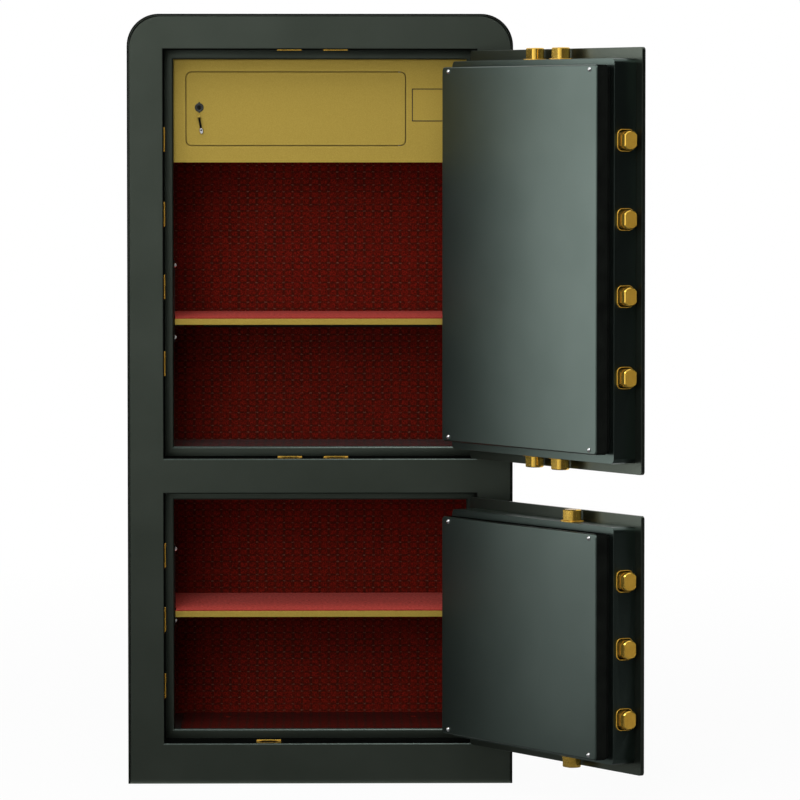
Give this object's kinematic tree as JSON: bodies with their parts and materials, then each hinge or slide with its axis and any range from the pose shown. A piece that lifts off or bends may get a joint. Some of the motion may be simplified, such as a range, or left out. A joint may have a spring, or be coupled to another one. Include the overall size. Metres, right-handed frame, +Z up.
{
  "type": "electronic safe",
  "caption": "Tall office safe with separate upper and lower compartments behind thick hinged doors, round bolts on each door, a small inner locker and shelves.",
  "frame": {"origin": "centre of the cabinet's base, on the floor", "axes": "+X to the right seen from the front, +Y to the back, +Z up"},
  "size_m": [0.7782, 0.9335, 1.2],
  "materials": {
    "body_paint": "dark grey-green hammered powder coat",
    "door_paint": "lighter grey-green powder coat",
    "gold_paint": "satin golden sheen paint",
    "gold_plate": "bright golden plated steel",
    "fill": "light cast fireproof filling",
    "liner": "bare grey sheet steel",
    "back_felt": "dark red felt with a fine dotted weave",
    "floor_mat": "brick red felt mat",
    "zinc": "zinc-plated sheet steel",
    "chrome": "bright chrome",
    "steel": "plain turned steel",
    "plastic": "black grained plastic",
    "touch_glass": "glossy black touch surface"
  },
  "bodies": {
    "cabinet": {"outer_wrap": "body_paint", "back_plate": "body_paint", "base_plate": "body_paint", "front_frame": "body_paint", "stop_ledges": "body_paint", "fire_fill": "fill", "compartment_liners": "liner", "bolt_keepers": "gold_plate", "back_felts": "back_felt", "floor_mats": "floor_mat", "shelf_rails": "zinc", "rail_screws": "chrome", "shelf_clips": "zinc", "upper_shelf": "gold_paint", "lower_shelf": "gold_paint", "shelf_mats": "floor_mat", "frame_hinges": "body_paint", "hinge_pins": "chrome", "locker_case": "gold_paint", "locker_plate": "gold_paint"},
    "locker_door": {"locker_door": "gold_paint", "locker_hinge_pins": "steel", "locker_lock": "steel"},
    "locker_cam": {"locker_key_plug": "steel"},
    "locker_pull": {"locker_pull": "chrome"},
    "upper_door": {"upper_door_plate": "body_paint", "upper_bolt_case": "door_paint", "upper_cover": "door_paint", "upper_cover_screws": "chrome", "upper_bolt_rings": "gold_plate", "upper_handle_rose": "steel", "upper_lock_housing": "plastic", "upper_touch_panel": "touch_glass", "upper_solenoid": "steel", "upper_battery_box": "plastic"},
    "upper_side_carriage": {"upper_side_bolts": "gold_plate"},
    "upper_top_carriage": {"upper_top_bolts": "gold_plate"},
    "upper_bottom_carriage": {"upper_bottom_bolts": "gold_plate"},
    "upper_handle_body": {"upper_handle": "chrome"},
    "upper_key_body": {"upper_key_cylinder": "steel"},
    "upper_key_cover_body": {"upper_key_cover": "chrome"},
    "upper_plunger_body": {"upper_plunger": "steel"},
    "lower_door": {"lower_door_plate": "body_paint", "lower_bolt_case": "door_paint", "lower_cover": "door_paint", "lower_cover_screws": "chrome", "lower_bolt_rings": "gold_plate", "lower_handle_rose": "steel", "lower_lock_housing": "plastic", "lower_touch_panel": "touch_glass", "lower_solenoid": "steel", "lower_battery_box": "plastic"},
    "lower_side_carriage": {"lower_side_bolts": "gold_plate"},
    "lower_top_carriage": {"lower_top_bolts": "gold_plate"},
    "lower_bottom_carriage": {"lower_bottom_bolts": "gold_plate"},
    "lower_handle_body": {"lower_handle": "chrome"},
    "lower_key_body": {"lower_key_cylinder": "steel"},
    "lower_key_cover_body": {"lower_key_cover": "chrome"},
    "lower_plunger_body": {"lower_plunger": "steel"}
  },
  "joints": [
    {"name": "locker_hinge", "type": "hinge", "parent": "cabinet", "child": "locker_door", "pos_m": [0.1245, -0.1362, 1.05], "axis": [0, 0, 1], "range_deg": [0, 100]},
    {"name": "locker_key_turn", "type": "hinge", "parent": "locker_door", "child": "locker_cam", "pos_m": [-0.1895, -0.14, 1.055], "axis": [0, 1, 0], "range_deg": [0, 90]},
    {"name": "locker_pull_swing", "type": "hinge", "parent": "locker_door", "child": "locker_pull", "pos_m": [-0.19, -0.146, 1.041], "axis": [-0.9848, 0, -0.1736], "range_deg": [0, 80]},
    {"name": "upper_door_hinge", "type": "hinge", "parent": "cabinet", "child": "upper_door", "pos_m": [0.2505, -0.2505, 0.82675], "axis": [0, 0, 1], "range_deg": [-120, 50]},
    {"name": "upper_handle_turn", "type": "hinge", "parent": "upper_door", "child": "upper_handle_body", "pos_m": [0.42275, -0.58984, 0.7465], "axis": [0.866, 0.5, 0], "range_deg": [0, 70]},
    {"name": "upper_side_bolt_slide", "type": "slide", "parent": "upper_door", "child": "upper_side_carriage", "axis": [0.5, -0.866, 0], "range_m": [0, 0.0201]},
    {"name": "upper_top_bolt_slide", "type": "slide", "parent": "upper_door", "child": "upper_top_carriage", "axis": [0, 0, 1], "range_m": [0, 0.0201]},
    {"name": "upper_bottom_bolt_slide", "type": "slide", "parent": "upper_door", "child": "upper_bottom_carriage", "axis": [0, 0, -1], "range_m": [0, 0.0201]},
    {"name": "upper_key_turn", "type": "hinge", "parent": "upper_door", "child": "upper_key_body", "pos_m": [0.42275, -0.58984, 0.8495], "axis": [-0.866, -0.5, 0], "range_deg": [0, 90]},
    {"name": "upper_key_cover_swing", "type": "hinge", "parent": "upper_door", "child": "upper_key_cover_body", "pos_m": [0.4392, -0.58034, 0.8685], "axis": [0.866, 0.5, 0], "range_deg": [0, 110]},
    {"name": "upper_plunger_lift", "type": "slide", "parent": "upper_door", "child": "upper_plunger_body", "axis": [0, 0, 1], "range_m": [0, 0.008]},
    {"name": "lower_door_hinge", "type": "hinge", "parent": "cabinet", "child": "lower_door", "pos_m": [0.2505, -0.2505, 0.2585], "axis": [0, 0, 1], "range_deg": [-120, 50]},
    {"name": "lower_handle_turn", "type": "hinge", "parent": "lower_door", "child": "lower_handle_body", "pos_m": [0.42275, -0.58984, 0.178], "axis": [0.866, 0.5, 0], "range_deg": [0, 70]},
    {"name": "lower_side_bolt_slide", "type": "slide", "parent": "lower_door", "child": "lower_side_carriage", "axis": [0.5, -0.866, 0], "range_m": [0, 0.0201]},
    {"name": "lower_top_bolt_slide", "type": "slide", "parent": "lower_door", "child": "lower_top_carriage", "axis": [0, 0, 1], "range_m": [0, 0.0201]},
    {"name": "lower_bottom_bolt_slide", "type": "slide", "parent": "lower_door", "child": "lower_bottom_carriage", "axis": [0, 0, -1], "range_m": [0, 0.0201]},
    {"name": "lower_key_turn", "type": "hinge", "parent": "lower_door", "child": "lower_key_body", "pos_m": [0.42275, -0.58984, 0.274], "axis": [-0.866, -0.5, 0], "range_deg": [0, 90]},
    {"name": "lower_key_cover_swing", "type": "hinge", "parent": "lower_door", "child": "lower_key_cover_body", "pos_m": [0.4392, -0.58034, 0.293], "axis": [0.866, 0.5, 0], "range_deg": [0, 110]},
    {"name": "lower_plunger_lift", "type": "slide", "parent": "lower_door", "child": "lower_plunger_body", "axis": [0, 0, 1], "range_m": [0, 0.008]}
  ],
  "couplings": [
    {"joint": "upper_side_bolt_slide", "follows": "upper_handle_turn", "m_per_rad": 0.01637},
    {"joint": "upper_top_bolt_slide", "follows": "upper_handle_turn", "m_per_rad": 0.01637},
    {"joint": "upper_bottom_bolt_slide", "follows": "upper_handle_turn", "m_per_rad": 0.01637},
    {"joint": "lower_side_bolt_slide", "follows": "lower_handle_turn", "m_per_rad": 0.01637},
    {"joint": "lower_top_bolt_slide", "follows": "lower_handle_turn", "m_per_rad": 0.01637},
    {"joint": "lower_bottom_bolt_slide", "follows": "lower_handle_turn", "m_per_rad": 0.01637}
  ]
}
